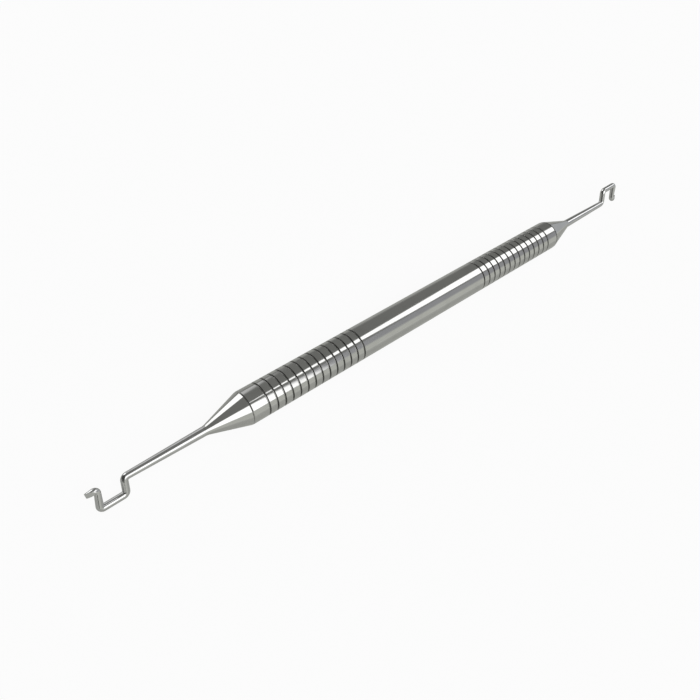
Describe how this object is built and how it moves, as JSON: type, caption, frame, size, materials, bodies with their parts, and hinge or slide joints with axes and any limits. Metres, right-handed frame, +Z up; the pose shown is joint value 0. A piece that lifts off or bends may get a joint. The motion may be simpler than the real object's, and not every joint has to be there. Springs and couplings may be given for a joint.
{
  "type": "double-ended trimming tool",
  "caption": "Slim double-ended steel hand tool: round handle with ringed grips, a cone at each end and a thin tapered rod bent into a square crank with a short stub tip.",
  "frame": {"origin": "on the table under the middle of the handle, at the bottom centre of the box", "axes": "+X along the handle's axis towards the far end, +Z up with the tool lying on a table, +Y level across the handle away from the viewer"},
  "size_m": [0.1758, 0.008, 0.008],
  "materials": {
    "handle_steel": "turned and polished stainless steel",
    "ferrule_steel": "polished stainless steel",
    "tip_steel": "satin polished stainless steel"
  },
  "bodies": {
    "root": {"handle_tube": "handle_steel", "near_ferrule": "ferrule_steel", "far_ferrule": "ferrule_steel", "near_tip": "tip_steel", "far_tip": "tip_steel"}
  },
  "joints": []
}
